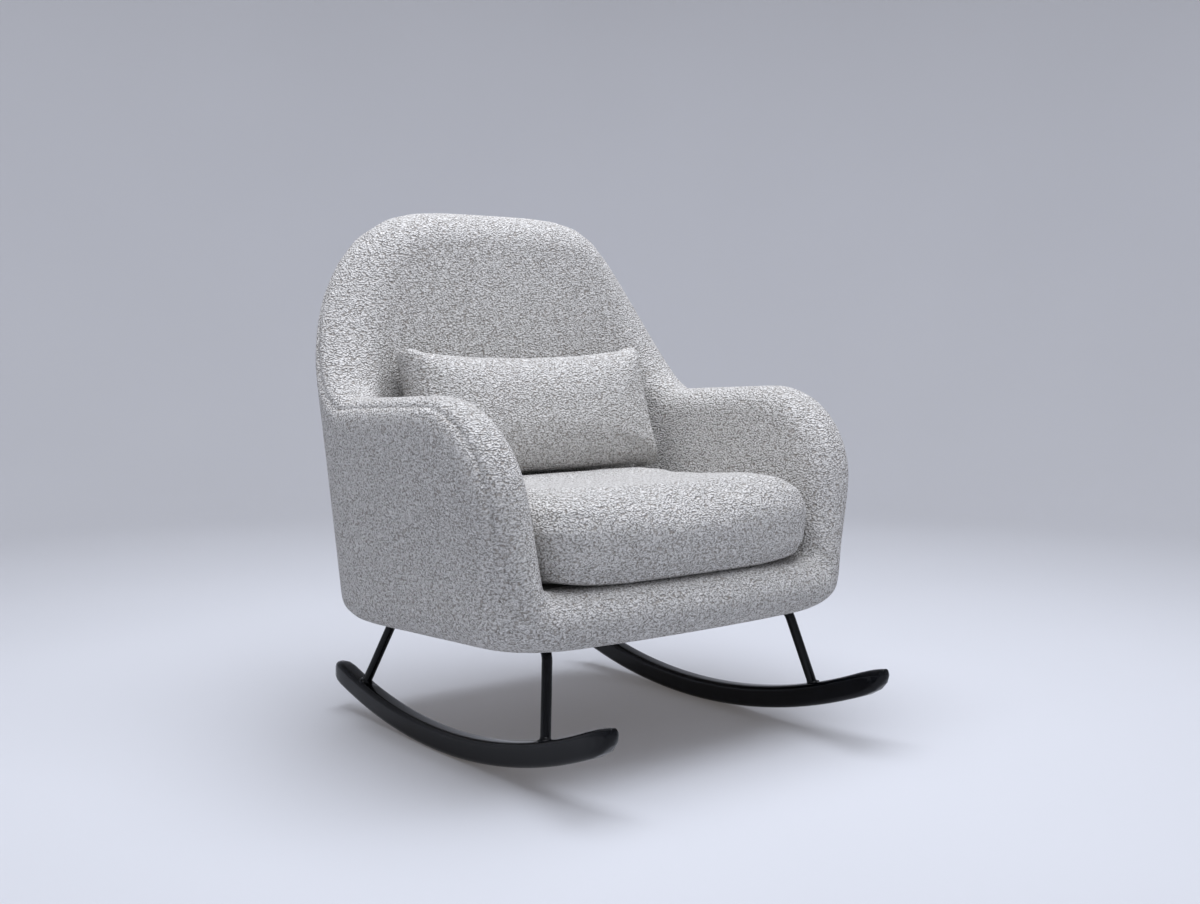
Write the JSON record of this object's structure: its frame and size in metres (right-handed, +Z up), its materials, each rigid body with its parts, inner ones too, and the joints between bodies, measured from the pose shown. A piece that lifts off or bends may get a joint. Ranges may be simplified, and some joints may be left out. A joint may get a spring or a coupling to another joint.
{
  "type": "upholstered rocking chair",
  "caption": "Rocking chair with a padded tub of arms and back, a loose seat cushion and a lumbar pillow, on bent steel side rods and curved wooden runners.",
  "frame": {"origin": "on the floor, under the middle of the chair's outer box", "axes": "+Z up, +Y to the rear, so the chair faces -Y, and +X to the sitter's left"},
  "size_m": [0.784, 0.8116, 0.8891],
  "materials": {
    "lacquered_wood": "black gloss lacquer",
    "black_steel": "black gloss powder coat",
    "beech": "planed, raw",
    "plywood": "sanded, raw",
    "webbing": "woven elastic",
    "boucle": "looped wool-like pile",
    "foam": "open-cell foam",
    "fibre_filling": "loose fibre",
    "deck_cloth": "plain weave",
    "dust_cloth": "thin non-woven"
  },
  "bodies": {
    "chair": {"arm_cleat_left": "beech", "arm_cleat_right": "beech", "arm_panel_left": "plywood", "arm_panel_right": "plywood", "back_cleat": "beech", "back_panel": "plywood", "border_padding": "boucle", "corner_blocks": "beech", "deck_cloth": "deck_cloth", "deck_pad": "foam", "dust_cover": "dust_cloth", "front_board": "beech", "mounting_plates": "black_steel", "rear_board": "beech", "runner_left": "lacquered_wood", "runner_right": "lacquered_wood", "side_board_left": "beech", "side_board_right": "beech", "side_rod_left": "black_steel", "side_rod_right": "black_steel", "tub_padding": "boucle", "webbing_crosswise": "webbing", "webbing_lengthwise": "webbing"},
    "seat_cushion": {"seat_cushion_cover": "boucle", "seat_cushion_core": "foam"},
    "lumbar_pillow": {"pillow_cover": "boucle", "pillow_filling": "fibre_filling"}
  },
  "joints": [
    {"name": "cushion_draw_out", "type": "slide", "parent": "chair", "child": "seat_cushion", "axis": [0, -0.9986, 0.0523], "range_m": [0, 0.55]},
    {"name": "pillow_lift", "type": "slide", "parent": "chair", "child": "lumbar_pillow", "axis": [0, -0.342, 0.9397], "range_m": [0, 0.32]}
  ]
}
